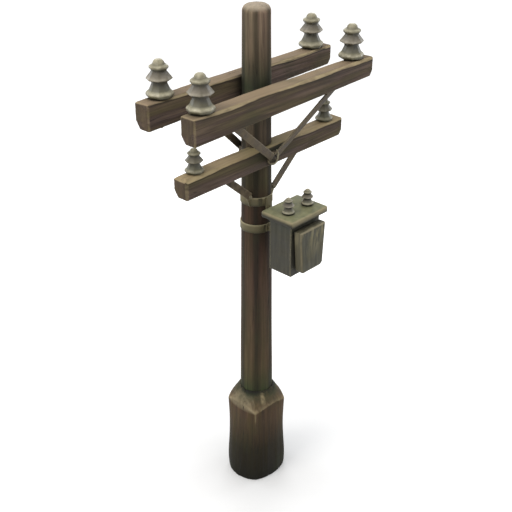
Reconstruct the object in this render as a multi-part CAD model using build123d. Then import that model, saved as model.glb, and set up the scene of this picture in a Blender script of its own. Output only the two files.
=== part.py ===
from build123d import *
import math
import os

# Pole: a round timber that tapers from foot to tip
pole_height = 6122
pole_foot_radius = 212
pole_tip_radius = 153
pole_top_round = 72

# Foot block: blunt-cornered under a coned shoulder, drawn out to a round at the ground on two sides
foot_neck_height = 1326
foot_neck_lip = 5
foot_rim_height = 1074
foot_rim_radius = 362
foot_rim_clear = 40
foot_turn = -3.5
foot_height_shares = [0, 0.307, 0.652, 1]
foot_corner_shares = [0.986, 1.006, 0.959, 0.997]
foot_side_shares = [0.978, 0.956, 0.903, 0.856]
foot_front_shares = [0.865, 0.854, 0.851, 0.856]

# Fits between pieces that sit on each other
seat_gap = 0.3
pin_gap = 0.05

# Upper crossarms: a pair of hewn timbers, deeper at the butt end than at the tip
arm_drop = 768
front_arm_length = 2830
back_arm_length = 2884
arm_width = 200
arm_butt_depth = 286
arm_tip_depth = 221
arm_edge_round = 15
arm_cut_along = 70
arm_cut_across = 70
arm_cut_rise = 100
spacer_length = 152
spacer_width = 150
spacer_height = 120
spacer_drop = 175
back_arm_gain = 37

# Lower crossarm: one timber, halved over the front of the pole
lower_drop = 770
lower_length = 2542
lower_butt_depth = 228
lower_tip_depth = 208
lower_proud = 46
lower_housing = 79

# Flat braces
strap_width = 86
strap_thickness = 20
strap_end = 26
strap_corner_round = 10
strap_kerf = 56
strap_setback = 64
lower_strap_angle = 41
lower_strap_share = 0.33
front_strap_angle = 40
front_strap_share = 0.07
front_apex_drop = 121
front_apex_proud = 44
back_strap_angle = 44.5
back_apex_drop = 130
wedge_width = 124
wedge_above = 66
wedge_below = 36
wedge_lip = 14
saddle_width = 190
saddle_height = 130
saddle_thickness = 16

# Steel bands round the pole
band_thickness = 12
band_height = 104
band_edge_cut = 4
upper_band_drop = 656
band_spacing = 340
lug_thickness = 14
lug_reach = 207
lug_drop = 565
lug_tip = 26
lug_corner_round = 14

# Insulators: eight-sided stacks, heights and radii as shares of one height and one flange radius
insulator_sides = 8
insulator_height = 393
insulator_radius = 148
insulator_insets = {"front_left": 213, "front_right": 242, "back_left": 264, "back_right": 240}
insulator_offsets = {"front_left": 28, "front_right": 50, "back_left": 8, "back_right": 28}
lower_insulator_height = 266
lower_insulator_radius = 106
lower_insulator_inset = 222
lower_insulator_offset = 14
bushing_height = 187
bushing_radius = 74
bushing_reach = 160
bushing_sideways = 12
bushing_forward = 35
stack_height_shares = [0, 0.05, 0.11, 0.16, 0.21, 0.375, 0.44, 0.50, 0.53, 0.71, 0.79, 0.84, 0.88, 0.95, 1]
stack_radius_shares = [0.76, 0.96, 1, 0.93, 0.76, 0.56, 0.56, 0.93, 0.91, 0.53, 0.69, 0.67, 0.44, 0.38, 0.25]

# Switch box hung in front of the pole
box_width = 470
box_depth = 320
box_height = 647
box_standoff = 246
box_wall = 12
lid_drop = 41
lid_thickness = 73
lid_overhang = 70
lid_corner_round = 26
lid_top_round = 24
lid_under_round = 12
rail_top_height = 118
rail_bottom_height = 96
stile_width = 72

# Box door: a deep pan, narrower at the foot
door_gap = 24
door_depth = 96
door_head = 77
door_foot = 50
door_side = 21
door_draw = 32
door_corner_cut = 34
door_front_round = 26
door_rim = 26
door_skin = 10

# Door hinges
hinge_side_gap = 8
hinge_radius = 7
hinge_pin_radius = 3.5
knuckle_length = 24
knuckle_gap = 1
leaf_length = 72
leaf_thickness = 8
hinge_height_shares = [0.2, 0.8]

# Brackets from the bands to the back of the box
bracket_foot_width = 96
bracket_foot_thickness = 14
bracket_arm_width = 44
bracket_arm_height = 60
bracket_pad_width = 150
bracket_pad_height = 84
bracket_pad_thickness = 14
upper_bracket_drop = 55


def pole_radius(height):
    return pole_foot_radius + (pole_tip_radius - pole_foot_radius) * height / pole_height


def ring_solid(low, high, inner, outer):
    """Turned ring between two heights that follows the pole's taper at two offsets."""
    low_radius = pole_radius(low)
    high_radius = pole_radius(high)
    points = [
        (low_radius + inner, low),
        (low_radius + outer, low),
        (high_radius + outer, high),
        (high_radius + inner, high),
    ]
    return revolve(Plane.XZ * make_face(Polyline(*points, close=True)), Axis.Z)


def pole_core(low, high, grow):
    """The pole between two heights, grown outward."""
    low_radius = pole_radius(low)
    high_radius = pole_radius(high)
    points = [(0, low), (low_radius + grow, low), (high_radius + grow, high), (0, high)]
    return revolve(Plane.XZ * make_face(Polyline(*points, close=True)), Axis.Z)


def block(low_x, high_x, low_y, high_y, low_z, high_z):
    """Plain block between three pairs of planes."""
    size = Box(high_x - low_x, high_y - low_y, high_z - low_z)
    return Pos((low_x + high_x) / 2, (low_y + high_y) / 2, (low_z + high_z) / 2) * size


def timber(length, top, butt_depth, tip_depth, middle, grow=0):
    """Tapered timber along X with its top level, grown on every face."""
    half = length / 2 + grow
    points = [
        (-half, top + grow),
        (half, top + grow),
        (half, top - tip_depth - grow),
        (-half, top - butt_depth - grow),
    ]
    side = Plane.XZ * make_face(Polyline(*points, close=True))
    return Pos(0, middle, 0) * extrude(side, amount=arm_width / 2 + grow, both=True)


def hewn(length, top, butt_depth, tip_depth, middle):
    """Timber with worn edges and one lower corner hewn off at each end."""
    arm = timber(length, top, butt_depth, tip_depth, middle)
    arm = fillet(arm.edges(), arm_edge_round)
    ends = [(-1, 1, butt_depth), (1, -1, tip_depth)]
    for end, side, depth in ends:
        origin = (end * (length / 2 - arm_cut_along), middle + side * arm_width / 2, top - depth)
        normal = (end / arm_cut_along, side / arm_cut_across, -1 / arm_cut_rise)
        arm = split(arm, bisect_by=Plane(origin=origin, z_dir=normal), keep=Keep.BOTTOM)
    return arm


def strap(low, high, facing, grow=0):
    """Flat bar between two bolt centres, facing one way."""
    run = high - low
    length = run.length + 2 * strap_end + 2 * grow
    outline = RectangleRounded(length, strap_width + 2 * grow, strap_corner_round)
    place = Plane(origin=(low + high) / 2, x_dir=run, z_dir=facing)
    return extrude(place * outline, amount=strap_thickness / 2 + grow, both=True)


def insulator(radius, height):
    """Faceted stack of flange, cone, skirt, ring and cap."""
    rings = list(zip(stack_height_shares, stack_radius_shares))
    flat_share = math.cos(math.pi / insulator_sides)
    stack = []
    for (low, low_share), (high, high_share) in zip(rings, rings[1:]):
        rise = (high - low) * height
        draw_in = abs(low_share - high_share) * radius * flat_share
        wide = RegularPolygon(max(low_share, high_share) * radius, insulator_sides)
        frustum = extrude(wide, amount=rise, taper=math.degrees(math.atan2(draw_in, rise)))
        if high_share > low_share:
            frustum = Pos(0, 0, rise) * Rot(180, 0, 0) * frustum
        stack.append(Pos(0, 0, low * height) * frustum)
    return stack[0].fuse(*stack[1:])


parts = {}

# Where the pieces stand
arm_top = pole_height - arm_drop
lower_top = arm_top - lower_drop
upper_band_height = lower_top - upper_band_drop
lower_band_height = upper_band_height - band_spacing
arm_mean_depth = (arm_butt_depth + arm_tip_depth) / 2
arm_mid_height = arm_top - arm_mean_depth / 2
arm_underside = arm_top - arm_mean_depth
front_inner = -(pole_radius(arm_mid_height) + spacer_length)
front_middle = front_inner - arm_width / 2
back_inner = pole_radius(arm_mid_height) - back_arm_gain
back_middle = back_inner + arm_width / 2
lower_mean_depth = (lower_butt_depth + lower_tip_depth) / 2
lower_mid_height = lower_top - lower_mean_depth / 2
lower_underside = lower_top - lower_mean_depth
lower_front = -(pole_radius(lower_mid_height) + lower_proud)
lower_middle = lower_front + arm_width / 2
lower_seat = -(pole_radius(lower_mid_height) - lower_housing)

# Braces of the lower arm, from lugs on the upper band up into kerfs in the arm
lower_strap_y = lower_front + arm_width * (1 - lower_strap_share)
lug_height = lower_top - lug_drop
lower_rise = lower_underside + strap_kerf - lug_height
lower_run = lower_rise / math.tan(math.radians(lower_strap_angle))
lower_facing = Vector(0, -1, 0)
lower_ends = {}
for side, name in ((-1, "left"), (1, "right")):
    low = Vector(side * lug_reach, lower_strap_y, lug_height)
    high = low + Vector(side * lower_run, 0, lower_rise)
    lower_ends[name] = (low, high)

# Braces of the front arm, in a plane that leans out from the lower arm to the front arm
front_apex_height = lower_top - front_apex_drop
front_apex_y = lower_front - front_apex_proud
front_strap_y = front_middle - arm_width * front_strap_share
front_rise = arm_underside + strap_kerf - front_apex_height
front_lean = math.atan2(front_apex_y - front_strap_y, arm_underside - front_apex_height)
front_up = Vector(0, -math.sin(front_lean), math.cos(front_lean))
front_facing = Vector(0, -math.cos(front_lean), -math.sin(front_lean))
front_climb = front_rise / math.cos(front_lean)
front_run = front_climb / math.tan(math.radians(front_strap_angle))
front_ends = {}
for side, name in ((-1, "left"), (1, "right")):
    apex = Vector(0, front_apex_y, front_apex_height)
    high = apex + Vector(side * front_run, 0, 0) + front_up * front_climb
    front_ends[name] = (apex + (high - apex).normalized() * strap_setback, high)

# Braces of the back arm, upright behind the pole
back_apex_height = lower_top - back_apex_drop
saddle_face = pole_radius(back_apex_height) + saddle_thickness
back_strap_y = saddle_face + seat_gap + strap_thickness / 2
back_rise = arm_underside + strap_kerf - back_apex_height
back_run = back_rise / math.tan(math.radians(back_strap_angle))
back_facing = Vector(0, 1, 0)
back_ends = {}
for side, name in ((-1, "left"), (1, "right")):
    apex = Vector(0, back_strap_y, back_apex_height)
    high = apex + Vector(side * back_run, 0, back_rise)
    back_ends[name] = (apex + (high - apex).normalized() * strap_setback, high)

# Crossarms, each with kerfs for its own braces
front_arm = hewn(front_arm_length, arm_top, arm_butt_depth, arm_tip_depth, front_middle)
back_arm = hewn(back_arm_length, arm_top, arm_butt_depth, arm_tip_depth, back_middle)
lower_arm = hewn(lower_length, lower_top, lower_butt_depth, lower_tip_depth, lower_middle)
for name in ("left", "right"):
    parts["strap_front_" + name] = strap(*front_ends[name], front_facing)
    parts["strap_back_" + name] = strap(*back_ends[name], back_facing)
    parts["strap_lower_" + name] = strap(*lower_ends[name], lower_facing)
    front_arm -= strap(*front_ends[name], front_facing, seat_gap)
    back_arm -= strap(*back_ends[name], back_facing, seat_gap)
    lower_arm -= strap(*lower_ends[name], lower_facing, seat_gap)

# The lower arm is scribed to the round of the pole behind the flat housing
scribe_low = lower_underside - arm_width
scribe_high = lower_top + arm_width
scribe = pole_core(scribe_low, scribe_high, seat_gap)
scribe &= block(-lower_length, lower_length, lower_seat - seat_gap, arm_width, scribe_low, scribe_high)
parts["arm_front"] = front_arm
parts["arm_back"] = back_arm
parts["arm_lower"] = lower_arm - scribe

# Pole, with a gain for the back arm and a flat housing for the lower arm
pole = pole_core(0, pole_height, 0)
pole = fillet(pole.edges().filter_by(GeomType.CIRCLE).sort_by(Axis.Z)[-1], pole_top_round)
pole -= timber(back_arm_length, arm_top, arm_butt_depth, arm_tip_depth, back_middle, seat_gap)
housing = timber(lower_length, lower_top, lower_butt_depth, lower_tip_depth, lower_middle, seat_gap)
housing &= block(-lower_length, lower_length, lower_front - arm_width, lower_seat, scribe_low, scribe_high)
parts["pole"] = pole - housing

# Spacer between the pole and the front arm
spacer_high = arm_top - spacer_drop + spacer_height / 2
spacer_low = spacer_high - spacer_height
spacer = block(-spacer_width / 2, spacer_width / 2, front_inner + seat_gap, 0, spacer_low, spacer_high)
parts["arm_spacer"] = spacer - pole_core(0, pole_height, seat_gap)

# Saddle behind the pole for the back braces
saddle = block(
    -saddle_width / 2,
    saddle_width / 2,
    0,
    saddle_face,
    back_apex_height - saddle_height / 2,
    back_apex_height + saddle_height / 2,
)
parts["brace_saddle"] = saddle - pole_core(0, pole_height, seat_gap)

# Wedge on the lower arm's face, its front leaning with the front braces, and a lip under their ends
wedge_low = front_apex_height - wedge_below
wedge_high = front_apex_height + wedge_above
wedge_back = lower_front - seat_gap
wedge = block(-wedge_width / 2, wedge_width / 2, front_middle, wedge_back, wedge_low, wedge_high)
wedge_plane = Plane(
    origin=Vector(0, front_apex_y, front_apex_height) - front_facing * (strap_thickness / 2 + seat_gap),
    z_dir=front_facing,
)
wedge = split(wedge, bisect_by=wedge_plane, keep=Keep.BOTTOM)
lip_front = front_apex_y - strap_thickness / 2 - wedge_lip
lip = block(-wedge_width / 2, wedge_width / 2, lip_front, wedge_back, wedge_low - wedge_lip, wedge_low)
parts["brace_wedge"] = wedge + fillet(lip.edges().filter_by(Axis.Z).sort_by(Axis.Y)[:2], wedge_lip)

# Foot block: four bulging sides drawn up from the ground, trimmed to the cone of the shoulder
foot_heights = [share * foot_rim_height for share in foot_height_shares] + [foot_neck_height]
foot_shares = list(zip(foot_corner_shares, foot_side_shares, foot_front_shares))
foot_shares.append(foot_shares[-1])
foot_sections = []
for height, (corner_share, side_share, front_share) in zip(foot_heights, foot_shares):
    reach = corner_share * foot_rim_radius / math.sqrt(2)
    side_half = side_share * foot_rim_radius
    front_half = front_share * foot_rim_radius
    outline = [
        ThreePointArc((reach, -reach), (side_half, 0), (reach, reach)),
        ThreePointArc((reach, reach), (0, front_half), (-reach, reach)),
        ThreePointArc((-reach, reach), (-side_half, 0), (-reach, -reach)),
        ThreePointArc((-reach, -reach), (0, -front_half), (reach, -reach)),
    ]
    foot_sections.append(Pos(0, 0, height) * make_face(outline))
neck_radius = pole_radius(foot_neck_height) + foot_neck_lip
shoulder_slope = (foot_neck_height - foot_rim_height) / (foot_rim_radius - neck_radius)
trim_points = [
    (0, 0),
    (foot_rim_radius + foot_rim_clear, 0),
    (foot_rim_radius + foot_rim_clear, foot_rim_height - foot_rim_clear * shoulder_slope),
    (neck_radius, foot_neck_height),
    (0, foot_neck_height),
]
shoulder = revolve(Plane.XZ * make_face(Polyline(*trim_points, close=True)), Axis.Z)
foot_block = loft(foot_sections) & shoulder
parts["foot_block"] = Rot(0, 0, foot_turn) * foot_block - pole_core(0, pole_height, seat_gap)

# Bands, the upper one with a lug behind the foot of each lower brace
for name, height in (("upper", upper_band_height), ("lower", lower_band_height)):
    low = height - band_height / 2
    high = height + band_height / 2
    band = ring_solid(low, high, seat_gap, seat_gap + band_thickness)
    rims = band.edges().filter_by(GeomType.CIRCLE).sort_by(SortBy.LENGTH)[-2:]
    parts["band_" + name] = chamfer(rims, band_edge_cut)
lug_face = lower_strap_y + strap_thickness / 2 + seat_gap
lug_foot = upper_band_height - band_height / 2 + band_edge_cut
lug_points = [
    (0, lug_foot),
    (pole_radius(lug_foot) + band_thickness, lug_foot),
    (lug_reach + lug_tip, lug_height - lug_tip),
    (lug_reach + lug_tip, lug_height + lug_tip),
    (0, lug_height + lug_tip),
]
lug = extrude(Plane.XZ * make_face(Polyline(*lug_points, close=True)), amount=-lug_thickness)
lug = fillet(lug.edges().filter_by(Axis.Y).sort_by(Axis.X)[-2:], lug_corner_round)
lug = Pos(0, lug_face, 0) * lug - pole_core(0, pole_height, seat_gap)
parts["band_upper"] += [lug, mirror(lug, about=Plane.YZ)]

# Insulators on the arms
post = insulator(insulator_radius, insulator_height)
lower_post = insulator(lower_insulator_radius, lower_insulator_height)
lower_post_y = lower_middle + lower_insulator_offset
upper_arms = {"front_": (front_arm_length, front_middle), "back_": (back_arm_length, back_middle)}
for side, name in ((-1, "left"), (1, "right")):
    for row, (length, middle) in upper_arms.items():
        reach = side * (length / 2 - insulator_insets[row + name])
        post_y = middle + insulator_offsets[row + name]
        parts["insulator_" + row + name] = Pos(reach, post_y, arm_top + seat_gap) * post
    lower_reach = side * (lower_length / 2 - lower_insulator_inset)
    parts["insulator_lower_" + name] = Pos(lower_reach, lower_post_y, lower_top + seat_gap) * lower_post

# Box shell of separate sheets
lid_bottom = upper_band_height - lid_drop
box_back = -(pole_radius(lid_bottom) + box_standoff)
box_front = box_back - box_depth
box_floor = lid_bottom - box_height
box_half_width = box_width / 2
shell_top = lid_bottom - seat_gap
back_inner_face = box_back - box_wall
inner_front = box_front + box_wall + seat_gap
inner_back = back_inner_face - seat_gap
inner_half = box_half_width - box_wall
rail_low = lid_bottom - rail_top_height
rail_high = box_floor + rail_bottom_height
stile_edge = box_half_width - stile_width
parts["box_back"] = block(-box_half_width, box_half_width, back_inner_face, box_back, box_floor, shell_top)
parts["box_left"] = block(-box_half_width, -inner_half, inner_front, inner_back, box_floor, shell_top)
parts["box_right"] = block(inner_half, box_half_width, inner_front, inner_back, box_floor, shell_top)
parts["box_floor"] = block(
    seat_gap - inner_half, inner_half - seat_gap, inner_front, inner_back, box_floor, box_floor + box_wall
)
face_back = box_front + box_wall
parts["box_rail_top"] = block(-box_half_width, box_half_width, box_front, face_back, rail_low, shell_top)
parts["box_rail_bottom"] = block(-box_half_width, box_half_width, box_front, face_back, box_floor, rail_high)
stile_low = rail_high + seat_gap
stile_high = rail_low - seat_gap
parts["box_stile_left"] = block(-box_half_width, -stile_edge, box_front, face_back, stile_low, stile_high)
parts["box_stile_right"] = block(stile_edge, box_half_width, box_front, face_back, stile_low, stile_high)

# Lid with a rolled edge
lid_half = box_half_width + lid_overhang
lid_top = lid_bottom + lid_thickness
lid = block(-lid_half, lid_half, box_front - lid_overhang, box_back + lid_overhang, lid_bottom, lid_top)
lid = fillet(lid.edges().filter_by(Axis.Z), lid_corner_round)
lid = fillet(lid.faces().sort_by(Axis.Z)[-1].edges(), lid_top_round)
parts["box_lid"] = fillet(lid.faces().sort_by(Axis.Z)[0].edges(), lid_under_round)
bushing = insulator(bushing_radius, bushing_height)
bushing_y = (box_front + box_back) / 2 - bushing_forward
bushing_foot = lid_top + seat_gap
for side, name in ((-1, "left"), (1, "right")):
    parts["bushing_" + name] = Pos(side * bushing_reach + bushing_sideways, bushing_y, bushing_foot) * bushing

# Door pan: outline narrower at the foot with its lower corners cut, hollow behind
door_back = box_front - door_gap
door_top = lid_bottom - door_head
door_bottom = box_floor + door_foot
door_top_half = box_half_width - door_side
door_bottom_half = door_top_half - door_draw
door_points = [
    (-door_top_half, door_top),
    (door_top_half, door_top),
    (door_bottom_half, door_bottom + door_corner_cut),
    (door_bottom_half - door_corner_cut, door_bottom),
    (door_corner_cut - door_bottom_half, door_bottom),
    (-door_bottom_half, door_bottom + door_corner_cut),
]
door_outline = make_face(Polyline(*door_points, close=True))
door = Pos(0, door_back, 0) * extrude(Plane.XZ * door_outline, amount=door_depth)
door = fillet(door.faces().sort_by(Axis.Y)[0].edges(), door_front_round)
pocket_outline = offset(door_outline, amount=-door_rim, kind=Kind.INTERSECTION)
pocket = Pos(0, door_back, 0) * extrude(Plane.XZ * pocket_outline, amount=door_depth - door_skin)
parts["door"] = door - pocket

# Hinges: outer knuckles on the right stile, middle knuckles on leaves behind the door
axis_x = door_top_half + hinge_side_gap
axis_y = box_front - door_gap / 2
pins = []
stile_knuckles = []
door_leaves = []
for share in hinge_height_shares:
    middle = door_bottom + share * (door_top - door_bottom)
    for step in (-1, 0, 1):
        height = middle + step * (knuckle_length + knuckle_gap)
        barrel = Pos(axis_x, axis_y, height) * Cylinder(hinge_radius, knuckle_length)
        low_z = height - knuckle_length / 2
        high_z = height + knuckle_length / 2
        bore = Pos(axis_x, axis_y, height) * Cylinder(hinge_pin_radius + pin_gap, knuckle_length)
        if step == 0:
            leaf_back = door_back + seat_gap
            leaf = block(axis_x - leaf_length, axis_x, leaf_back, leaf_back + leaf_thickness, low_z, high_z)
            door_leaves.append(barrel + leaf - bore)
        else:
            web = block(
                axis_x - hinge_radius, axis_x + hinge_radius, axis_y, box_front - seat_gap, low_z, high_z
            )
            stile_knuckles.append(barrel + web - bore)
    pin_length = 3 * knuckle_length + 2 * knuckle_gap
    pins.append(Pos(axis_x, axis_y, middle) * Cylinder(hinge_pin_radius, pin_length))
parts["hinge_pins"] = Compound(children=pins)
parts["hinge_knuckles"] = Compound(children=stile_knuckles)
parts["door_leaves"] = Compound(children=door_leaves)

# Brackets: a hollowed foot on each band, a bar, and a pad on the box
bracket_heights = {
    "upper": (lid_bottom - upper_bracket_drop, upper_band_height),
    "lower": (lower_band_height, lower_band_height),
}
for name, (height, band_middle) in bracket_heights.items():
    foot_high = band_middle + band_height / 2
    foot_low = height - bracket_arm_height / 2
    foot_face = -(pole_radius(foot_low) + seat_gap + band_thickness + bracket_foot_thickness)
    foot = block(-bracket_foot_width / 2, bracket_foot_width / 2, foot_face, 0, foot_low, foot_high)
    foot -= pole_core(0, pole_height, seat_gap + band_thickness + seat_gap)
    bar_low = height - bracket_arm_height / 2
    bar_high = height + bracket_arm_height / 2
    bar_back = foot_face + bracket_foot_thickness / 2
    pad_front = box_back + seat_gap
    bar = block(-bracket_arm_width / 2, bracket_arm_width / 2, pad_front, bar_back, bar_low, bar_high)
    pad = block(
        -bracket_pad_width / 2,
        bracket_pad_width / 2,
        pad_front,
        pad_front + bracket_pad_thickness,
        height - bracket_pad_height / 2,
        height + bracket_arm_height / 2,
    )
    parts["bracket_" + name] = foot + bar + pad

os.makedirs("parts", exist_ok=True)
for name, shape in parts.items():
    export_step(shape, "parts/" + name + ".step")
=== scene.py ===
import math

import bmesh
import bpy
import numpy as np
from mathutils import Matrix, Vector, noise


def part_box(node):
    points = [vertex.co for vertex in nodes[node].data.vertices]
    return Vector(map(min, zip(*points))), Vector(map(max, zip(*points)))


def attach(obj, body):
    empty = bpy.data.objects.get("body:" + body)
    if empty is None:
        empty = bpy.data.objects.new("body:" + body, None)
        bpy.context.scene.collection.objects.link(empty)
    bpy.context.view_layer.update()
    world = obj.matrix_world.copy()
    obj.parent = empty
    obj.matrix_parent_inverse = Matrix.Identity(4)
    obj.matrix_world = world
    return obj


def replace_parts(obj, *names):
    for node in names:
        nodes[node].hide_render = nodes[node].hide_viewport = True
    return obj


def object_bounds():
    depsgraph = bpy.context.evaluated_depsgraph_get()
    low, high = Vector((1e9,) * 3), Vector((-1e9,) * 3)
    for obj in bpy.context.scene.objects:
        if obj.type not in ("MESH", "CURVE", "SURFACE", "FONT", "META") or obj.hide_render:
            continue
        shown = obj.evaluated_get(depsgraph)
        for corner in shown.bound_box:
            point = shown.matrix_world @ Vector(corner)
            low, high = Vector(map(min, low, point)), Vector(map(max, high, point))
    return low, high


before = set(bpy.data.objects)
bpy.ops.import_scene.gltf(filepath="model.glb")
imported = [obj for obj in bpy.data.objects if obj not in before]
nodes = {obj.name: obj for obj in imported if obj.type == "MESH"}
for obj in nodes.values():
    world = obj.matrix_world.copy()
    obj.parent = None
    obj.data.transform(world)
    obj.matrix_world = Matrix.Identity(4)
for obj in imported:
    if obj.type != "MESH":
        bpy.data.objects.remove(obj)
cad_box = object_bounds()

# Camera
view_azimuth = math.radians(46.94)
view_pitch = math.radians(28.60)
view_angle = math.radians(29.61)
view_distance = 11.463
view_end = 200.0
aim_height = 3.141
aim_sideways = -0.0047

# Floor and sky
floor_half = 60.0
floor_drop = 0.0005
floor_white = 0.9
floor_glow_near = 0.06
floor_glow_far = 0.5
floor_glow_reach = 5.0
floor_bounce = 0.2
sky_low = 0.2
sky_high = 0.92
sky_seen = 1.0

# Lamps: name, azimuth and elevation in degrees, size, power and colour
lamp_distance = 12.0
lamps = [
    ("key", -98.0, 50.0, 5.0, 480.0, (1.0, 0.97, 0.92)),
    ("fill", 20.0, 40.0, 8.0, 110.0, (0.97, 0.98, 1.0)),
    ("rim_left", -165.0, 15.0, 4.0, 160.0, (0.9, 0.95, 1.0)),
    ("rim_right", 75.0, 15.0, 4.0, 180.0, (0.9, 0.95, 1.0)),
    ("back", 133.0, 20.0, 8.0, 320.0, (0.96, 0.98, 1.0)),
]

# Relief of the timbers: voxel sizes, and each wave's scale across and along the grain and its shift
arm_voxel = 0.0075
pole_voxel = 0.011
foot_voxel = 0.011
grain_depth = 0.0016
grain_waves = [(46.0, 1.6, 3.7), (9.0, 1.2, 8.1)]
noise_origin = Vector((17.3, 5.9, 31.1))

# Rounding and paling of whatever edges a timber has
smooth_rounds = 3
smooth_share = 0.7
plain_wear_start = 0.1
wear_rise = 3.0
edge_pale = 0.6
upward_start = 0.2
upward_rise = 0.2
spread_gain = 2.2
no_fade = (-1.0, 0.0)
foot_wear_start = 0.04
foot_spread_rounds = 14
foot_fade = (0.7, 1.02)

# Worn edges of the arms: the two faces that meet, by axis and side, then the bevel's size and paleness
arm_edges = [
    ("Y", -1, "Z", 1, 0.021, 0.85),
    ("Y", 1, "Z", 1, 0.020, 0.6),
    ("X", -1, "Y", -1, 0.027, 0.35),
    ("X", 1, "Y", -1, 0.026, 0.3),
    ("X", 1, "Y", 1, 0.022, 0.22),
    ("X", -1, "Z", 1, 0.018, 0.6),
    ("X", 1, "Z", 1, 0.018, 0.6),
]

# Unevenness of those bevels: amount, scale and shift of each wave, and limits
uneven_waves = [(1.1, 1.8, 0.0), (0.25, 8.0, 2.3)]
uneven_least = 0.35
uneven_most = 2.2
corner_uneven = 0.25
pale_rise = 0.2
# Line of painted shade just below the worn front edges: its offset, width and lean
edge_shade_offset = 0.006
edge_shade_width = 0.007
edge_shade_lean = 0.01

# Broken edges of the other pieces
spacer_round = 0.004
brace_round = 0.006
band_round = 0.003
stack_round = 0.003
hinge_round = 0.0008
lid_round = 0.008
lid_segments = 3
box_round = 0.002
door_round = 0.004
merge_distance = 0.00002
flat_angle = math.radians(0.5)
sharp_angle = math.radians(26.0)
plain_crease = math.radians(24.0)
stack_crease = math.radians(44.0)

# Nuts: sides, radius, start and end of washer, nut and stud, as shares of the nut's size
nut_shares = [(20, 1.7, 0.0, 0.35), (6, 1.15, 0.35, 1.2), (12, 0.6, 1.2, 1.75)]
nut_taper_share = 0.94
pin_nut_size = 0.027
pin_nut_gap = 0.001
pin_reach = 0.03
lug_nut_size = 0.013
lug_reach = 0.197
lug_front = -0.091
lug_height = 4.004

# Bands and their lapped ends, with the turn of each end in degrees
band_height = 0.104
bracket_rise = 0.2
lap_steps = 8
lap_turns = {"upper": -122.9, "lower": -103.9}
lap_width = 0.045
lap_proud = 0.006
lap_sunk = 0.002
lap_foot_margin = 0.004
lap_face_margin = 0.007

# Hook at the foot of the front braces
hook_radius = 0.0095
hook_smoothness = 8
hook_roundness = 4
hook_path = [
    (0.046, -0.262, 4.552),
    (0.042, -0.290, 4.534),
    (0.032, -0.297, 4.490),
    (0.018, -0.298, 4.446),
    (-0.006, -0.293, 4.416),
    (-0.040, -0.288, 4.408),
    (-0.062, -0.280, 4.420),
]

# Limits of masks that several finishes share
grain_range = (0.3, 0.7)
smear_range = (0.3, 0.6)
top_range = (0.35, 0.85)
side_range = (0.8, 0.2)

# Timber: scales across and along the grain, shifts, places of the three shades and depths
fine_scales = (25.0, 0.9)
broad_scales = (8.0, 0.6)
broad_shift = (3.1, 1.7, 0.4)
chip_scales = (20.0, 6.0)
crack_scales = (16.0, 0.45)
crack_shift = (9.0, 2.0, 5.0)
crack_half = 0.014
timber_stops = (0.36, 0.5, 0.64)
# Reach of the painted shade in the timbers' corners
timber_shade_reach = 0.42
timber_bump = 0.006
timber_specular = 0.26
patch_scale = 2.3
# Paler tops: partly sun bleaching, partly painted light
top_bleach_and_light = "#9b876d"
wood_worn = "#c4b28a"
moss = "#454b32"
# Near-black used for painted shade (corners, the neck crease, below worn edges, under the lid, partly down
# the pole) and for dark cracks
painted_shade_and_dark_marks = "#22221b"

# Arms: end grain, painted shade on the sides of the lower arm beside the pole, and painted light on its top
end_range = (0.75, 0.95)
end_streak_scales = (1.0, 20.0, 2.5)
pole_shade_far = 0.62
pole_shade_near = 0.16
arm_margin = 0.05
end_grain = "#54483c"
end_streak = "#77664f"
arm_shade_near_pole = "#3a3d2a"
# Painted light for the top of the lower arm
lower_top_light = "#c0aa80"
arm_moss = "#6f6f4a"

# Pole: tints by share of its height, dark streaks round it (partly stains, partly painted shade) and a pale
# cap (partly painted light)
tint_gain = 3.2
stripe_count = 6.0
stripe_phase = 2.34
stripe_wander = 2.0
stripe_dark = 0.68
stripe_drift_scales = (1.5, 1.5, 0.6)
cap_range = (0.25, 0.8)
cap_pale_and_light = "#b9ab96"
pole_tints = [
    (0.21, "#6a8a70"),
    (0.27, "#a4a393"),
    (0.45, "#9e9393"),
    (0.62, "#8b7e79"),
    (0.68, "#868f81"),
    (0.78, "#a9adad"),
    (0.86, "#668172"),
    (0.92, "#b8bdb7"),
    (1.0, "#eae7ea"),
]

# Foot: tints by share of the pole's height, scuffs and painted light on the shoulder, and moss and painted
# shade round the neck
foot_tints = [(0.0, "#23261d"), (0.08, "#4b4f43"), (0.15, "#98928a"), (0.19, "#9c948a")]
shoulder_low = 1.06
shoulder_rise = 0.05
shoulder_left_range = (-0.64, -0.82)
smear_scale = 26.0
neck_patch_scale = 9.0
neck_radius = 0.204
neck_moss_far = 0.14
neck_moss_near = 0.02
# Painted shade in the crease at the foot of the neck
neck_shade_far = 0.05
neck_shade_near = 0.012
scuff_turn = math.radians(-119.0)
scuff_reaches = (0.238, 0.256, 0.274, 0.288)
scuff_height = 1.651
scuff_slope = 1.595
scuff_far = 0.04
scuff_near = 0.018
# Painted light for the left of the shoulder
shoulder_left_light = "#b9a98a"
neck_moss = "#3d4430"

# Metal: scales, places of the three shades and depths
cloud_scale = 9.0
plain_run_scale = 42.0
run_length_scale = 1.6
breakup_scale = 30.0
metal_stops = (0.33, 0.5, 0.67)
# Painted shade in the metals' corners: its reach and strength
metal_shade_reach = 0.12
metal_shade = 0.75
metal_bump = 0.002
metal_specular = 0.4

# Bands: painted light and shade by height, from the foot to twice the band's height
band_light_share = 0.75
band_light_and_shade = [
    (0.0, "#35322a"),
    (0.06, "#575139"),
    (0.18, "#7a7256"),
    (0.38, "#887f60"),
    (0.45, "#b8ad88"),
    (0.49, "#cdc29c"),
    (0.53, "#857c5e"),
]

# Box: how far below its top the green and the painted shadow of the lid reach
box_green_drop = 0.25
lid_shadow_drop = 0.05
lid_shadow_full_drop = 0.01
box_green = "#3f4230"

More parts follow.
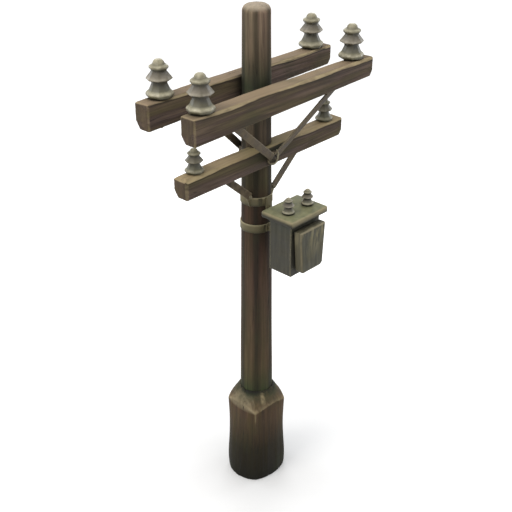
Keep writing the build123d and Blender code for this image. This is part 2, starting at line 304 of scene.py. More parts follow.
# Lid: heights over its foot and below its top where the painted shade on the skirt starts
lid_side_range = (0.99, 0.75)
lid_left_range = (-0.5, -0.9)
lid_skirt_high = 0.044
lid_skirt_low = 0.012
lid_left_drop = 0.014
lid_left_low = 0.03
lid_roll_wear_and_highlight = "#b3a582"
lid_skirt_shade = "#34332a"
lid_left_shade = "#33322a"

# Door: where the drips run, and how far the faces of its roll lean from the front
drip_low = 0.1
drip_high = 0.08
drip_scales = (11.0, 11.0, 2.0)
drip_shift = (2.0, 5.0, 1.0)
door_side_range = (-0.985, -0.8)
door_roll_start = (-0.99, -0.9)
door_roll_end = (-0.25, -0.6)
drip_pale = "#a49b79"
drip_dark = "#2d2f22"
door_side_light = "#716b54"
door_roll_highlight = "#a3987b"

# Porcelain: painted light and shade by share of a stack's height, stains, a darker film, painted shade in
# the hollows and painted highlights on edges and bushings
stack_light_and_shade = [
    (0.0, "#3c3b2e"),
    (0.05, "#6d6b55"),
    (0.1, "#8f8b72"),
    (0.14, "#d2cbae"),
    (0.17, "#cbc4a6"),
    (0.22, "#6f6d59"),
    (0.36, "#55534a"),
    (0.44, "#2b2b23"),
    (0.49, "#8f877a"),
    (0.53, "#beb5a2"),
    (0.58, "#968d7e"),
    (0.7, "#575147"),
    (0.77, "#37362c"),
    (0.8, "#9f987e"),
    (0.84, "#c9c2a5"),
    (0.885, "#857f68"),
    (0.95, "#bdb596"),
    (1.0, "#d3cbad"),
]
glaze_scale = 16.0
glaze_edge = 0.012
glaze_shade_reach = 0.1
glaze_film_share = 0.12
glaze_low_dark_share = 0.4
glaze_bump = 0.002
glaze_specular = 0.5
bushing_top_range = (0.3, 0.9)
bushing_under_range = (0.42, 0.0)
glaze_stain = "#6a644f"
glaze_rim_highlight = "#ddd5b8"
glaze_hollow_shade = "#26271d"
glaze_film = "#2e2d22"
glaze_low_dark = "#4f4d36"
bushing_top_highlight = "#e0d9bd"
bushing_under_shade = "#2a2a20"


def tone(code):
    """Linear colour of a written hexadecimal one."""
    values = [int(code[i : i + 2], 16) / 255 for i in (1, 3, 5)]
    return tuple(v / 12.92 if v <= 0.04045 else ((v + 0.055) / 1.055) ** 2.4 for v in values) + (1.0,)


def grey(level):
    return (level, level, level, 1.0)


class Finish:
    """A procedural material and the nodes that make it."""

    def __init__(self, name):
        self.material = bpy.data.materials.new(name)
        self.material.use_nodes = True
        self.tree = self.material.node_tree
        self.tree.nodes.clear()
        self.shader = self.add("ShaderNodeBsdfPrincipled")
        output = self.add("ShaderNodeOutputMaterial")
        self.tree.links.new(self.shader.outputs[0], output.inputs[0])
        self.place = self.add("ShaderNodeTexCoord").outputs["Object"]
        self.normal = self.add("ShaderNodeNewGeometry").outputs["Normal"]

    def add(self, kind, **settings):
        node = self.tree.nodes.new(kind)
        for key, value in settings.items():
            setattr(node, key, value)
        return node

    def put(self, socket, value):
        if isinstance(value, bpy.types.NodeSocket):
            self.tree.links.new(value, socket)
        else:
            socket.default_value = value

    def math(self, operation, first, second=0.0):
        node = self.add("ShaderNodeMath", operation=operation)
        self.put(node.inputs[0], first)
        self.put(node.inputs[1], second)
        return node.outputs[0]

    def times(self, *values):
        product = values[0]
        for value in values[1:]:
            product = self.math("MULTIPLY", product, value)
        return product

    def stretch(self, scales, shift=(0.0, 0.0, 0.0)):
        node = self.add("ShaderNodeMapping")
        self.put(node.inputs["Vector"], self.place)
        self.put(node.inputs["Scale"], scales)
        self.put(node.inputs["Location"], shift)
        return node.outputs[0]

    def noise(self, vector, scale=1.0, detail=2.0, rough=0.5, bend=0.0):
        node = self.add("ShaderNodeTexNoise")
        self.put(node.inputs["Vector"], vector)
        self.put(node.inputs["Scale"], scale)
        self.put(node.inputs["Detail"], detail)
        self.put(node.inputs["Roughness"], rough)
        self.put(node.inputs["Distortion"], bend)
        return node.outputs["Fac"]

    def span(self, value, low, high, out_low=0.0, out_high=1.0):
        """A value moved from one range to another and held inside it."""
        node = self.add("ShaderNodeMapRange")
        for socket, item in zip(node.inputs[:5], (value, low, high, out_low, out_high)):
            self.put(socket, item)
        return node.outputs[0]

    def ramp(self, value, stops):
        """Colour by value. The places are set before the colours, because setting them sorts the stops."""
        node = self.add("ShaderNodeValToRGB")
        self.put(node.inputs[0], value)
        elements = node.color_ramp.elements
        for _ in stops[2:]:
            elements.new(1.0)
        for element, stop in zip(elements, stops):
            element.position = stop[0]
        for element, stop in zip(elements, stops):
            element.color = tone(stop[1])
        return node.outputs[0]

    def mix(self, share, first, second, blend="MIX"):
        """Two colours mixed, at the sockets that the node keeps for colours."""
        node = self.add("ShaderNodeMix", data_type="RGBA", blend_type=blend)
        self.put(node.inputs[0], share)
        self.put(node.inputs[6], tone(first) if isinstance(first, str) else first)
        self.put(node.inputs[7], tone(second) if isinstance(second, str) else second)
        return node.outputs[2]

    def lay(self, share, colour):
        """A further colour over the ones so far."""
        self.colour = self.mix(share, self.colour, colour)

    def axis(self, letter, vector=None):
        node = self.add("ShaderNodeSeparateXYZ")
        self.put(node.inputs[0], self.place if vector is None else vector)
        return node.outputs["XYZ".index(letter)]

    def facing(self, letter, low, high):
        return self.span(self.axis(letter, self.normal), low, high)

    def stored(self, name):
        return self.add("ShaderNodeAttribute", attribute_name=name).outputs["Fac"]

    def length(self, vector, place=(0.0, 0.0, 0.0)):
        node = self.add("ShaderNodeVectorMath", operation="DISTANCE")
        self.put(node.inputs[0], vector)
        self.put(node.inputs[1], place)
        return node.outputs["Value"]

    def edges(self, radius, low=0.02, high=0.22):
        """Mask of the edges, from the normals of a rounded copy of the surface."""
        rounded = self.add("ShaderNodeBevel", samples=6)
        self.put(rounded.inputs["Radius"], radius)
        dot = self.add("ShaderNodeVectorMath", operation="DOT_PRODUCT")
        self.put(dot.inputs[0], rounded.outputs[0])
        self.put(dot.inputs[1], self.normal)
        return self.span(dot.outputs["Value"], 1.0 - low, 1.0 - high)

    def cavity(self, distance, low, high):
        """Mask of places that stand close to something else."""
        node = self.add("ShaderNodeAmbientOcclusion", samples=8)
        self.put(node.inputs["Distance"], distance)
        return self.span(node.outputs["AO"], high, low)

    def bump(self, height, strength, distance):
        node = self.add("ShaderNodeBump")
        self.put(node.inputs["Strength"], strength)
        self.put(node.inputs["Distance"], distance)
        self.put(node.inputs["Height"], height)
        self.put(self.shader.inputs["Normal"], node.outputs[0])

    def done(self, colour, roughness, specular):
        self.put(self.shader.inputs["Base Color"], colour)
        self.put(self.shader.inputs["Roughness"], roughness)
        self.put(self.shader.inputs["Specular IOR Level"], specular)
        return self.material


# Timber finishes
class Timber(Finish):
    """Weathered timber with its grain along one axis."""

    def __init__(self, name, along, shades, light, dark):
        super().__init__(name)
        self.along = along
        self.fine = self.noise(self.grain(fine_scales), detail=4.0, rough=0.6, bend=0.7)
        self.broad = self.noise(self.grain(broad_scales, broad_shift), detail=3.0, bend=0.5)
        self.colour = self.ramp(self.broad, list(zip(timber_stops, shades)))
        self.lay(self.span(self.fine, 0.5, 0.32, 0.0, 0.7), dark)
        self.lay(self.span(self.fine, 0.52, 0.7, 0.0, 0.6), light)

    def grain(self, scales, shift=(0.0, 0.0, 0.0)):
        return self.stretch(along_axis(*scales, self.along), shift)

    def shade(self, stops, gain):
        """Colour by height up the pole."""
        tint = self.ramp(self.math("DIVIDE", self.axis("Z"), cad_box[1].z), stops)
        self.colour = self.mix(1.0, self.colour, tint, "MULTIPLY")
        self.colour = self.mix(1.0, self.colour, grey(gain), "MULTIPLY")

    def stripe(self, count, phase, wander, share):
        """Dark streaks that run down the pole at even turns round it, partly rain stains and partly painted
        shade: one is turned to run down the middle of the side facing the camera.
        """
        turn = self.math("ARCTAN2", self.axis("Y"), self.axis("X"))
        drift = self.math("MULTIPLY", self.noise(self.stretch(stripe_drift_scales), detail=3.0), wander)
        angle = self.math("ADD", self.math("MULTIPLY", turn, count), self.math("ADD", drift, phase))
        self.lay(self.span(self.math("SINE", angle), -0.2, 0.9, 0.0, share), painted_shade_and_dark_marks)

    def weather(self, bleach_and_light, mossy, corner_shade):
        """Upper faces paler, partly bleached and partly painted light, green patches, pale worn edges, a
        line of painted shade below them and painted shade in the corners.
        """
        # Upper faces paler: partly sun bleaching, partly painted light
        bleached_and_lit = self.span(self.fine, *grain_range, 0.6 * bleach_and_light, bleach_and_light)
        self.lay(self.times(self.facing("Z", *top_range), bleached_and_lit), top_bleach_and_light)
        patch = self.noise(self.place, scale=patch_scale, detail=3.0)
        self.lay(self.span(patch, 0.5, 0.68, 0.0, mossy), moss)
        chipped = self.span(self.noise(self.grain(chip_scales), detail=4.0), 0.34, 0.56, 0.35, 0.95)
        self.lay(self.times(self.stored("wear"), chipped), wood_worn)
        # Painted shade: a dark line just below the worn front edges, where no groove is cut
        self.lay(self.times(self.stored("edge_shade_line"), 0.7), painted_shade_and_dark_marks)
        # Painted shade in corners and close to other parts
        self.lay(self.times(self.cavity(timber_shade_reach, 0.35, 0.82), corner_shade), painted_shade_and_dark_marks)

    def finish(self):
        """Cracks along the grain, the bump and the roughness."""
        crack = self.noise(self.grain(crack_scales, crack_shift), bend=0.3)
        crack = self.span(self.math("ABSOLUTE", self.math("SUBTRACT", crack, 0.5)), crack_half, 0.0)
        crack = self.times(crack, self.span(self.broad, 0.48, 0.58))
        self.lay(self.times(crack, 0.75), painted_shade_and_dark_marks)
        self.bump(self.math("SUBTRACT", self.fine, crack), 0.5, timber_bump)
        return self.done(self.colour, self.span(self.fine, *grain_range, 0.68, 0.9), timber_specular)


def along_axis(across, lengthwise, along):
    """Scales across the grain on two axes and along it on the third."""
    scales = [across, across, across]
    scales["XYZ".index(along)] = lengthwise
    return scales


def arm_finish():
    """The arms' timber: streaked end grain, and the lower arm lit paler on top by painted light and darkened
    beside the pole by painted shade.
    """
    f = Timber("arm_wood", "X", ("#776b50", "#655649", "#806d66"), light="#9a876f", dark="#392f26")
    f.weather(bleach_and_light=1.0, mossy=0.35, corner_shade=0.8)
    end = f.span(f.math("ABSOLUTE", f.axis("X", f.normal)), *end_range)
    f.lay(f.times(end, 0.7), end_grain)
    streak = f.noise(f.stretch(end_streak_scales), detail=3.0)
    f.lay(f.times(end, f.span(streak, 0.42, 0.66, 0.0, 0.45)), end_streak)
    # Painted shade on the sides of the lower arm beside the pole
    near_pole = f.span(f.math("ABSOLUTE", f.axis("X")), pole_shade_far, pole_shade_near)
    front_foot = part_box("arm_front")[0].z - arm_margin
    lower_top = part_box("arm_lower")[1].z + arm_margin
    low_arm = f.span(f.axis("Z"), front_foot, lower_top)
    upper = f.facing("Z", *top_range)
    shade_patches = f.span(f.broad, 0.35, 0.6, 0.85, 0.45)
    f.lay(f.times(near_pole, low_arm, f.facing("Z", *side_range), shade_patches), arm_shade_near_pole)
    # Painted light on the top of the lower arm, which the upper arms shade
    f.lay(f.times(low_arm, upper, f.span(f.fine, *grain_range, 0.2, 0.6)), lower_top_light)
    f.lay(f.times(near_pole, low_arm, upper, 0.4), arm_moss)
    return f.finish()


def pole_finish():
    """The pole's timber: tinted by height, with dark streaks down it, partly stains and partly painted
    shade, and a pale cap, partly painted light.
    """
    f = Timber("pole_wood", "Z", ("#5d5343", "#655648", "#5c4d42"), light="#7f6f5d", dark="#3d342a")
    f.shade(pole_tints, tint_gain)
    f.stripe(stripe_count, stripe_phase, stripe_wander, stripe_dark)
    f.weather(bleach_and_light=0.0, mossy=0.25, corner_shade=0.6)
    # Pale cap on the upward faces: partly bleaching, partly painted light
    f.lay(f.times(f.facing("Z", *cap_range), f.span(f.fine, *grain_range, 0.6, 0.95)), cap_pale_and_light)
    return f.finish()


def foot_finish():
    """The foot's timber: darker at the ground, mossy round the neck with painted shade in the crease there,
    lit paler on the left of the shoulder by painted light, and pale where it is scuffed.
    """
    f = Timber("foot_wood", "Z", ("#61563f", "#655647", "#5d4f44"), light="#83735f", dark="#3f362c")
    f.shade(foot_tints, tint_gain)
    f.weather(bleach_and_light=0.4, mossy=0.25, corner_shade=0.5)
    shoulder = f.span(f.axis("Z"), shoulder_low, shoulder_low + shoulder_rise)
    smear = f.noise(f.place, scale=smear_scale, detail=3.0)
    pale = f.span(smear, *smear_range, 0.5, 0.85)
    # Painted light on the left of the shoulder, the side the light falls on
    f.lay(f.times(shoulder, f.facing("X", *shoulder_left_range), pale), shoulder_left_light)
    beyond_neck = f.math("SUBTRACT", f.length(f.stretch((1.0, 1.0, 0.0))), neck_radius)
    patchy = f.span(f.noise(f.place, scale=neck_patch_scale, detail=3.0), 0.35, 0.6, 0.45, 1.0)
    f.lay(f.times(shoulder, f.span(beyond_neck, neck_moss_far, neck_moss_near), patchy), neck_moss)
    # Painted shade: a dark ring in the crease at the foot of the neck
    f.lay(f.times(shoulder, f.span(beyond_neck, neck_shade_far, neck_shade_near), patchy), painted_shade_and_dark_marks)
    for reach in scuff_reaches:
        height = scuff_height - scuff_slope * reach
        place = (reach * math.cos(scuff_turn), reach * math.sin(scuff_turn), height)
        scuffed = f.span(f.length(f.place, place), scuff_far, scuff_near)
        f.lay(f.times(scuffed, f.span(smear, *smear_range, 0.05, 0.32)), wood_worn)
    return f.finish()


# Painted and bare metal, and porcelain
class Metal(Finish):
    """Dull painted metal with clouds and run-down streaks."""

    def __init__(self, name, shades, streaks=0.0, across=plain_run_scale):
        super().__init__(name)
        self.cloud = self.noise(self.place, scale=cloud_scale, detail=4.0, rough=0.6)
        run_scales = (across, across, run_length_scale)
        self.runs = self.noise(self.stretch(run_scales), detail=3.0, rough=0.6, bend=0.4)
        share = self.math("ADD", self.times(self.cloud, 1.0 - streaks), self.times(self.runs, streaks))
        self.colour = self.ramp(share, list(zip(metal_stops, shades)))

    def finish(self, worn, edge_radius, shade_reach=metal_shade_reach, shade_amount=metal_shade):
        """Worn edges, painted shade in the corners, the bump and the roughness."""
        breakup = self.span(self.noise(self.place, scale=breakup_scale, detail=3.0), 0.3, 0.55, 0.35, 1.0)
        self.lay(self.times(self.edges(edge_radius), breakup), worn)
        self.lay(self.times(self.cavity(shade_reach, 0.3, 0.8), shade_amount), painted_shade_and_dark_marks)
        self.bump(self.math("ADD", self.cloud, self.runs), 0.25, metal_bump)
        return self.done(self.colour, self.span(self.cloud, *grain_range, 0.5, 0.72), metal_specular)


def band_finish():
    """Band steel, coloured by height with painted light and shade: a painted highlight along the upper edge
    and painted shade along the lower.
    """
    f = Metal("band_steel", ("#6a6349", "#807858", "#968d6a"))
    # Painted highlight along the upper edge and painted shade along the lower
    f.lay(band_light_share, f.ramp(f.stored("rise"), band_light_and_shade))
    return f.finish(worn="#b9ae8a", edge_radius=0.010)


def box_finish():
    """The box's paint: streaked, greener towards the lid, and darkened just under it by a painted shadow."""
    f = Metal("box_paint", ("#302f26", "#454338", "#5d594b"), streaks=0.55, across=22.0)
    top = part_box("box_left")[1].z
    height = f.axis("Z")
    f.lay(f.span(height, top - box_green_drop, top, 0.0, 0.5), box_green)
    # Painted shadow just under the lid
    f.lay(f.span(height, top - lid_shadow_drop, top - lid_shadow_full_drop, 0.0, 0.75), painted_shade_and_dark_marks)
    return f.finish(worn="#a39b7e", edge_radius=0.014)


def lid_finish():
    """The lid's paint: olive on top, pale along the roll, partly wear and partly a painted highlight, and
    painted shade on the skirt, deeper on the left.
    """
    f = Metal("lid_paint", ("#77785a", "#8a8a67", "#9d9b78"))
    low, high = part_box("box_lid")
    height = f.axis("Z")
    side = f.facing("Z", *lid_side_range)
    left = f.facing("X", *lid_left_range)
    skirt = f.span(height, low.z + lid_skirt_high, low.z + lid_skirt_low, 0.0, 0.85)
    left_skirt = f.span(height, high.z - lid_left_drop, low.z + lid_left_low, 0.0, 0.9)
    # Pale roll (partly wear, partly painted highlight), then painted shade on the skirt and more on the left
    f.lay(f.times(side, f.span(f.cloud, *smear_range, 0.45, 0.85)), lid_roll_wear_and_highlight)
    f.lay(f.times(side, skirt), lid_skirt_shade)
    f.lay(f.times(side, left, left_skirt), lid_left_shade)
    return f.finish(worn="#b7aa86", edge_radius=0.012, shade_reach=0.16, shade_amount=0.85)


def door_finish():
    """The door's paint: streaked on the face, painted lighter on its side walls and with a painted highlight
    round its rolled border.
    """
    f = Metal("door_paint", ("#3e3e30", "#575546", "#6e6a55"), streaks=0.8, across=20.0)
    low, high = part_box("door")
    upper = f.span(f.axis("Z"), low.z + drip_low, high.z - drip_high)
    drips = f.noise(f.stretch(drip_scales, drip_shift), detail=4.0, rough=0.6, bend=0.7)
    f.lay(f.times(upper, f.span(drips, 0.5, 0.62, 0.0, 0.85)), drip_pale)
    f.lay(f.times(upper, f.span(drips, 0.48, 0.37, 0.0, 0.85)), drip_dark)
    forward = f.axis("Y", f.normal)
    # Painted light on the side walls, and a painted highlight on the roll
    f.lay(f.span(forward, *door_side_range, 0.0, 0.6), door_side_light)
    roll = f.times(f.span(forward, *door_roll_start), f.span(forward, *door_roll_end))
    f.lay(f.times(roll, f.span(f.cloud, *smear_range, 0.3, 0.75)), door_roll_highlight)
    return f.finish(worn="#a89e83", edge_radius=0.012)


def porcelain_finish():
    """Old glaze on the stacks, with painted light and shade by height: lit cream rims, grey skirts and
    shaded dark necks.
    """
    f = Finish("porcelain")
    cloud = f.noise(f.place, scale=glaze_scale, detail=4.0)
    # Painted light and shade by height up the stack
    f.colour = f.ramp(f.stored("rise"), stack_light_and_shade)
    f.lay(f.span(cloud, 0.35, 0.65, 0.0, 0.6), glaze_stain)
    # Painted highlight on the edges
    f.lay(f.times(f.edges(glaze_edge), 0.7), glaze_rim_highlight)
    # Painted shade in the hollows
    f.lay(f.times(f.cavity(glaze_shade_reach, 0.3, 0.85), 0.8), glaze_hollow_shade)
    f.lay(glaze_film_share, glaze_film)
    height = f.axis("Z")
    front_low, front_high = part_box("arm_front")
    low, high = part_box("arm_lower")
    # Darker and greener lower down, below the front arm's top
    below_front_arm = f.span(height, front_high.z, front_low.z, 0.0, glaze_low_dark_share)
    f.lay(f.times(below_front_arm, f.span(height, low.z, high.z, 0.2, 1.0)), glaze_low_dark)
    bushing = f.span(height, high.z, low.z)
    # Painted highlight on the tops of the bushings and painted shade under them
    f.lay(f.times(bushing, f.facing("Z", *bushing_top_range), 0.2), bushing_top_highlight)
    f.lay(f.times(bushing, f.facing("Z", *bushing_under_range), 0.72), bushing_under_shade)
    f.bump(cloud, 0.12, glaze_bump)
    return f.done(f.colour, f.span(cloud, *grain_range, 0.36, 0.55), glaze_specular)


def steel_finish(name, shades, worn, edge_radius):
    return Metal(name, shades).finish(worn, edge_radius)


arm_wood = arm_finish()
pole_wood = pole_finish()
foot_wood = foot_finish()
band_steel = band_finish()
brace_steel = steel_finish("brace_steel", ("#4b4134", "#685b48", "#81735c"), "#cfc4a1", edge_radius=0.018)
hinge_steel = steel_finish("hinge_steel", ("#2f2d26", "#45423a", "#5a564a"), "#8c846e", edge_radius=0.004)
bolt_steel = steel_finish("bolt_steel", ("#7d765f", "#a39b80", "#c4bb9c"), "#d6cdae", edge_radius=0.006)
clasp_steel = steel_finish("clasp_steel", ("#4d4935", "#5f5a43", "#736d53"), "#a39a78", edge_radius=0.006)
box_paint = box_finish()
lid_paint = lid_finish()
door_paint = door_finish()
porcelain = porcelain_finish()


# Meshes
def evaluated(obj):
    graph = bpy.context.evaluated_depsgraph_get()
    return bpy.data.meshes.new_from_object(obj.evaluated_get(graph))


def shade_smooth(mesh):
    mesh.polygons.foreach_set("use_smooth", [True] * len(mesh.polygons))


def built(name, build):
    """Mesh of a finished build."""
    mesh = bpy.data.meshes.new(name)
    build.to_mesh(mesh)
    build.free()
    return mesh


def piece(name, mesh, material, body="pole"):
    obj = bpy.data.objects.new(name, mesh)
    bpy.context.scene.collection.objects.link(obj)
    mesh.materials.clear()
    mesh.materials.append(material)
    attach(obj, body)
    return obj


def points_of(mesh):
    points = np.empty(len(mesh.vertices) * 3, np.float32)
    mesh.vertices.foreach_get("co", points)
    return points.reshape(-1, 3).astype(float)


def store(mesh, name, values):
    attribute = mesh.attributes.new(name, "FLOAT", "POINT")
    attribute.data.foreach_set("value", values.astype(np.float32))


def smoothed(points, links, rounds):
    """Points after some rounds of averaging with their neighbours."""
    counts = np.bincount(links.ravel(), minlength=len(points))[:, None]
    for _ in range(rounds):
        total = np.zeros_like(points)
        np.add.at(total, links[:, 0], points[links[:, 1]])
        np.add.at(total, links[:, 1], points[links[:, 0]])
        points = total / counts
    return points


def field(points, scales, shift=0.0):
    """Smooth noise from -1 to 1 at each point."""
    move = noise_origin + Vector((shift, shift, shift))
    return np.array([noise.noise(Vector(p) + move) for p in points * np.array(scales)])


def voxelled(node, voxel):
    """A fine, even mesh of a solid."""
    source = bpy.data.objects.new(node + "_source", nodes[node].data.copy())
    bpy.context.scene.collection.objects.link(source)
    remesh = source.modifiers.new("voxels", "REMESH")
    remesh.mode = "VOXEL"
    remesh.voxel_size = voxel
    mesh = evaluated(source)
    bpy.data.objects.remove(source)
    return mesh


def bevel_edges(node, points, wear, edge_shade_line, edges):
    """Moves points in along worn edges of a timber, and marks what is pale there and where a line of painted
    shade runs below them.
    """
    low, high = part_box(node)
    uneven = np.ones(len(points))
    for amount, scale, shift in uneven_waves:
        uneven += amount * field(points, [scale] * 3, shift)
    ragged = np.clip(uneven, uneven_least, uneven_most)
    even = 1.0 + corner_uneven * (uneven - 1.0)
    for first, first_side, second, second_side, size, pale in edges:
        a, b = "XYZ".index(first), "XYZ".index(second)
        face_a = high[a] if first_side > 0 else low[a]
        face_b = high[b] if second_side > 0 else low[b]
        inset_a = (face_a - points[:, a]) * first_side
        inset_b = (face_b - points[:, b]) * second_side
        reach = size * (even if second == "Y" else ragged)
        push = np.maximum(reach - inset_a - inset_b, 0.0) / 2.0
        points[:, a] -= push * first_side
        points[:, b] -= push * second_side
        wear[:] = np.maximum(wear, pale * np.clip(push / (pale_rise * size), 0.0, 1.0))
        if first == "Y":
            beyond = (inset_a + inset_b - reach - edge_shade_offset) / edge_shade_width
            under = np.clip((inset_b - inset_a) / edge_shade_lean, 0.0, 1.0)
            edge_shade_line[:] = np.maximum(edge_shade_line, np.exp(-beyond * beyond) * under)


def weathered(
    node, voxel, along, material, edges=(), wear_start=plain_wear_start, spread=0, fade=no_fade
):
    """A timber remeshed finely, its edges worn unevenly and its grain cut in, which stands for its solid."""
    mesh = voxelled(node, voxel)
    points = points_of(mesh)
    links = np.empty(len(mesh.edges) * 2, np.int32)
    mesh.edges.foreach_get("vertices", links)
    links = links.reshape(-1, 2)
    normals = np.array([v.normal for v in mesh.vertices])
    soft = smoothed(points, links, smooth_rounds)
    convex = ((points - soft) * normals).sum(1) / voxel
    wear = np.clip((convex - wear_start) / (wear_rise * wear_start), 0.0, 1.0)
    points = points + (soft - points) * (smooth_share * wear)[:, None]
    wear *= edge_pale * np.clip((points[:, 2] - fade[0]) / (fade[1] - fade[0]), 0.0, 1.0)
    if spread:
        upward = np.clip((normals[:, 2] - upward_start) / upward_rise, 0.0, 1.0)
        wear = np.maximum(wear, spread_gain * upward * smoothed(wear[:, None], links, spread)[:, 0])
    edge_shade_line = np.zeros(len(points))
    if edges:
        bevel_edges(node, points, wear, edge_shade_line, edges)
    relief = sum(field(points, along_axis(*scales, along), shift) for *scales, shift in grain_waves)
    points += normals * (grain_depth * relief)[:, None]
    points[:, 2] = np.maximum(points[:, 2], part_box(node)[0].z)
    mesh.vertices.foreach_set("co", points.astype(np.float32).ravel())
    store(mesh, "wear", wear)
    store(mesh, "edge_shade_line", edge_shade_line)
    shade_smooth(mesh)
    mesh.update()
    made = piece(node + "_timber", mesh, material)
    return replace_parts(made, node)


def dressed(node, width, material, body="pole", segments=2, crease=plain_crease):
    """A solid with its sharp edges broken, which stands for its node."""
    build = bmesh.new()
    build.from_mesh(nodes[node].data)
    bmesh.ops.remove_doubles(build, verts=build.verts, dist=merge_distance)
    bmesh.ops.dissolve_limit(
        build, angle_limit=flat_angle, verts=build.verts, edges=build.edges, delimit=set()
    )
    sharp = [e for e in build.edges if e.is_manifold and e.calc_face_angle(0.0) > sharp_angle]
    bmesh.ops.bevel(
        build, geom=sharp, offset=width, offset_type="OFFSET", segments=segments, profile=0.5,
        affect="EDGES", clamp_overlap=True
    )
    mesh = built(node + "_skin", build)
    shade_smooth(mesh)
    mesh.set_sharp_from_angle(angle=crease)
    made = piece(node + "_skin", mesh, material, body)
    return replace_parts(made, node)


def glazed(node):
    """A porcelain stack that stores how high up it each point lies."""
    stack = dressed(node, stack_round, porcelain, segments=1, crease=stack_crease)
    heights = points_of(stack.data)[:, 2]
    store(stack.data, "rise", (heights - heights.min()) / (heights.max() - heights.min()))


def banded(node):
    """A band that stores how high up it each point lies, or a bracket, which has one tint all over."""
    ring = dressed(node, band_round, band_steel)
    heights = points_of(ring.data)[:, 2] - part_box(node)[0].z
    if node.startswith("band_"):
        store(ring.data, "rise", heights / (2.0 * band_height))
    else:
        store(ring.data, "rise", np.full(len(heights), bracket_rise))


def bolted(name, places, size, material):
    """Washers, six-sided nuts and stud ends, each at a place and facing a way, as one piece."""
    build = bmesh.new()
    for place, facing in places:
        turn = Vector(facing).to_track_quat("Z", "Y").to_matrix().to_4x4()
        stand = Matrix.Translation(Vector(place)) @ turn
        for sides, radius, low, high in nut_shares:
            middle = Matrix.Translation((0.0, 0.0, (low + high) / 2.0 * size))
            bmesh.ops.create_cone(
                build, cap_ends=True, segments=sides, radius1=radius * size,
                radius2=radius * size * nut_taper_share, depth=(high - low) * size, matrix=stand @ middle
            )
    return piece(name, built(name, build), material)


def lapped(name, node, turn):
    """The lapped end of a band, a curved plate that stands a little proud of it."""
    low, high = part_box(node)
    section = (
        (-lap_sunk, lap_foot_margin),
        (lap_proud, lap_face_margin),
        (lap_proud, band_height - lap_face_margin),
        (-lap_sunk, band_height - lap_foot_margin),
    )
    build = bmesh.new()
    rows = []
    for step in range(lap_steps + 1):
        angle = math.radians(turn) + (step / lap_steps - 0.5) * lap_width / high.y
        row = []
        for stand, height in section:
            reach = high.y + stand
            row.append(build.verts.new((reach * math.cos(angle), reach * math.sin(angle), low.z + height)))
        rows.append(row)
    for first, second in zip(rows, rows[1:]):
        for i in range(4):
            build.faces.new((first[i], second[i], second[(i + 1) % 4], first[(i + 1) % 4]))
    build.faces.new(rows[0])
    build.faces.new(rows[-1])
    bmesh.ops.recalc_face_normals(build, faces=build.faces)
    return piece(name, built(name, build), clasp_steel)


def bent_rod(name, route, radius, material):
    """A round rod bent along a route."""
    curve = bpy.data.curves.new(name + "_path", "CURVE")
    curve.dimensions = "3D"
    curve.bevel_depth = radius
    curve.bevel_resolution = hook_roundness
    curve.use_fill_caps = True
    line = curve.splines.new("NURBS")
    line.points.add(len(route) - 1)
    for point, place in zip(line.points, route):
        point.co = (*place, 1.0)
    line.use_endpoint_u = True
    line.resolution_u = hook_smoothness
    source = bpy.data.objects.new(name + "_path", curve)
    bpy.context.scene.collection.objects.link(source)
    mesh = evaluated(source)
    bpy.data.objects.remove(source)
    shade_smooth(mesh)
    return piece(name, mesh, material)


# Timbers
arm_pieces = {}
for arm in ("arm_front", "arm_back", "arm_lower"):
    arm_pieces[arm] = weathered(arm, arm_voxel, "X", arm_wood, arm_edges)
weathered("pole", pole_voxel, "Z", pole_wood)
weathered(
    "foot_block", foot_voxel, "Z", foot_wood,
    wear_start=foot_wear_start, spread=foot_spread_rounds, fade=foot_fade
)
dressed("arm_spacer", spacer_round, arm_wood)

# Metal and porcelain
for node in nodes:
    if node.startswith(("strap_", "brace_")):
        dressed(node, brace_round, brace_steel)
    elif node.startswith(("band_", "bracket_")):
        banded(node)
    elif node.startswith(("insulator_", "bushing_")):
        glazed(node)
    elif node.startswith("hinge_"):
        dressed(node, hinge_round, hinge_steel)
    elif node == "box_lid":
        dressed(node, lid_round, lid_paint, segments=lid_segments)
    elif node.startswith("box_"):
        dressed(node, box_round, box_paint)
dressed("door", door_round, door_paint, "door")
dressed("door_leaves", hinge_round, hinge_steel, "door")

# Nuts under the arms, on the pins of the insulators
pin_places = []
for node in nodes:
    if node.startswith("insulator_"):
        row = node.split("_")[1]
        low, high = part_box(node)
        middle = (low + high) / 2.0
        near = points_of(arm_pieces["arm_" + row].data)
        near = near[(abs(near[:, 0] - middle.x) < pin_reach) & (abs(near[:, 1] - middle.y) < pin_reach)]
        pin_places.append(((middle.x, middle.y, near[:, 2].min() - pin_nut_gap), (0, 0, -1)))
bolted("pin_nuts", pin_places, pin_nut_size, bolt_steel)

# Nuts at the low ends of the lower braces
lug_places = [((side * lug_reach, lug_front, lug_height), (0, -1, 0)) for side in (-1, 1)]
bolted("lug_nuts", lug_places, lug_nut_size, bolt_steel)

# Lapped ends of the bands, and the hook of the front braces
for level, turn in lap_turns.items():
    lapped("lap_" + level, "band_" + level, turn)
bent_rod("brace_hook", hook_path, hook_radius, bolt_steel)

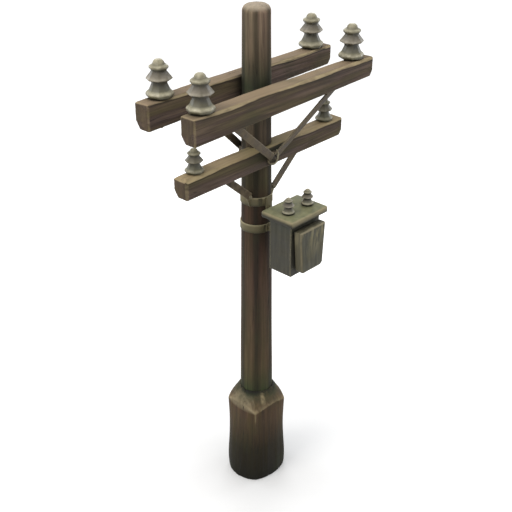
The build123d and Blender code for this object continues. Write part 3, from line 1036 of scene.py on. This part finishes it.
# Floor, which takes the shadow and shows white farther out
stage_mesh = bpy.data.meshes.new("floor")
corners = [(x * floor_half, y * floor_half, 0.0) for x, y in ((-1, -1), (1, -1), (1, 1), (-1, 1))]
stage_mesh.from_pydata(corners, [], [(0, 1, 2, 3)])
floor = bpy.data.objects.new("floor", stage_mesh)
floor.location.z = -floor_drop
bpy.context.scene.collection.objects.link(floor)
floor_finish = Finish("floor")
path = floor_finish.add("ShaderNodeLightPath")
seen = floor_finish.math("MAXIMUM", path.outputs["Is Camera Ray"], path.outputs["Is Glossy Ray"])
seen = floor_finish.math("MAXIMUM", seen, path.outputs["Is Transmission Ray"])
away = floor_finish.length(floor_finish.place)
glow = floor_finish.span(away, 0.0, floor_glow_reach, floor_glow_near, floor_glow_far)
floor_colour = floor_finish.mix(seen, grey(floor_bounce), grey(floor_white))
floor_finish.put(floor_finish.shader.inputs["Emission Color"], grey(1.0))
floor_finish.put(floor_finish.shader.inputs["Emission Strength"], floor_finish.times(seen, glow))
stage_mesh.materials.append(floor_finish.done(floor_colour, roughness=1.0, specular=0.0))

# Sky, which lights from above and is seen white
world = bpy.data.worlds.new("studio")
bpy.context.scene.world = world
world.use_nodes = True
tree = world.node_tree
sky = tree.nodes["Background"]
direction = tree.nodes.new("ShaderNodeSeparateXYZ")
tree.links.new(tree.nodes.new("ShaderNodeTexCoord").outputs["Generated"], direction.inputs[0])
overhead = tree.nodes.new("ShaderNodeMapRange")
tree.links.new(direction.outputs["Z"], overhead.inputs["Value"])
overhead.inputs["To Min"].default_value = sky_low
overhead.inputs["To Max"].default_value = sky_high
rays = tree.nodes.new("ShaderNodeLightPath")
strength = overhead.outputs[0]
for kind in ("Is Camera Ray", "Is Glossy Ray", "Is Transmission Ray"):
    shown = tree.nodes.new("ShaderNodeMath")
    shown.operation = "MULTIPLY"
    tree.links.new(rays.outputs[kind], shown.inputs[0])
    shown.inputs[1].default_value = sky_seen
    lifted = tree.nodes.new("ShaderNodeMath")
    lifted.operation = "MAXIMUM"
    tree.links.new(strength, lifted.inputs[0])
    tree.links.new(shown.outputs[0], lifted.inputs[1])
    strength = lifted.outputs[0]
tree.links.new(strength, sky.inputs["Strength"])
sky.inputs["Color"].default_value = grey(1.0)


def lamp(name, azimuth, elevation, size, power, colour):
    """Large soft lamp aimed at the middle of the pole."""
    data = bpy.data.lights.new(name, "AREA")
    data.size = size
    data.energy = power
    data.color = colour
    obj = bpy.data.objects.new(name, data)
    bpy.context.scene.collection.objects.link(obj)
    turn = math.radians(azimuth)
    rise = math.radians(elevation)
    outward = Vector((math.sin(turn) * math.cos(rise), -math.cos(turn) * math.cos(rise), math.sin(rise)))
    obj.location = Vector((0.0, 0.0, aim_height)) + outward * lamp_distance
    obj.rotation_euler = (-outward).to_track_quat("-Z", "Y").to_euler()


for settings in lamps:
    lamp(*settings)

# Camera at the photograph's place
camera = bpy.data.objects.new("camera", bpy.data.cameras.new("camera"))
bpy.context.scene.collection.objects.link(camera)
camera.data.angle = view_angle
looking = Vector((
    math.cos(view_pitch) * math.sin(view_azimuth),
    math.cos(view_pitch) * math.cos(view_azimuth),
    -math.sin(view_pitch),
))
sideways = Vector((math.cos(view_azimuth), -math.sin(view_azimuth), 0.0))
camera.location = Vector((0.0, 0.0, aim_height)) - looking * view_distance + sideways * aim_sideways
camera.rotation_euler = looking.to_track_quat("-Z", "Y").to_euler()
camera.data.clip_end = view_end
bpy.context.scene.camera = camera
bpy.context.scene.view_settings.view_transform = "Standard"
